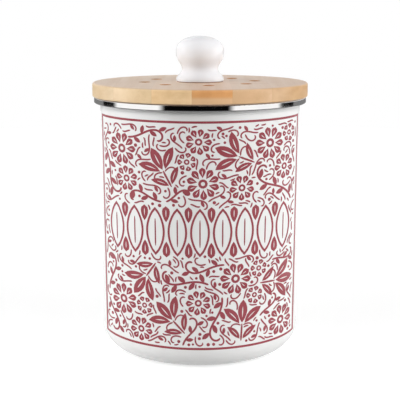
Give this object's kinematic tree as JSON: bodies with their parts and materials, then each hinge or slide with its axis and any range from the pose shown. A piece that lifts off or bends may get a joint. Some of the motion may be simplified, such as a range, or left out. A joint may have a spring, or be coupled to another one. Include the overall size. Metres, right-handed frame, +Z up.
{
  "type": "compost caddy",
  "caption": "Round enamelled steel kitchen compost caddy with a bright rim, a vented bamboo lid with a ceramic knob, and a carbon filter that pulls out of the lid.",
  "frame": {"origin": "on the can's axis, on the plane that the foot stands on", "axes": "+Z up along the can's axis, -Y towards the printed front, +X to the right seen from the front"},
  "size_m": [0.1622, 0.1622, 0.2376],
  "materials": {
    "enamel": "glossy white vitreous enamel",
    "print_ink": "red print under the glaze, on the front of the can",
    "bright_steel": "polished stainless steel strip",
    "silicone": "translucent white silicone, matt",
    "bamboo": "light bamboo, oiled, with straight grain",
    "bamboo_dark": "darker bamboo, oiled, with straight grain",
    "glazed_ceramic": "glossy white glaze",
    "brass": "turned brass",
    "screw_steel": "zinc-plated steel",
    "filter_plastic": "moulded white plastic, satin",
    "carbon_felt": "black charcoal felt"
  },
  "bodies": {
    "can": {"can_shell": "enamel", "rim_band": "bright_steel"},
    "seal": {"seal_ring": "silicone"},
    "lid": {"lid_stave_1": "bamboo", "lid_stave_2": "bamboo", "lid_stave_3": "bamboo", "lid_stave_4": "bamboo_dark", "lid_stave_5": "bamboo", "lid_stave_6": "bamboo", "plug_ring": "bamboo", "knob": "glazed_ceramic", "knob_insert": "brass", "knob_screw": "screw_steel", "knob_washer": "screw_steel", "filter_frame": "filter_plastic", "frame_screws": "screw_steel"},
    "filter": {"filter_cover": "filter_plastic", "carbon_filter": "carbon_felt"}
  },
  "joints": [
    {"name": "lid_lift", "type": "slide", "parent": "can", "child": "seal", "axis": [0, 0, 1], "range_m": [0, 0.12]},
    {"name": "lid_turn", "type": "hinge", "parent": "seal", "child": "lid", "pos_m": [0, 0, 0.1879], "axis": [0, 0, 1], "continuous": true},
    {"name": "filter_pull", "type": "slide", "parent": "lid", "child": "filter", "axis": [0, 0, -1], "range_m": [0, 0.04]}
  ]
}
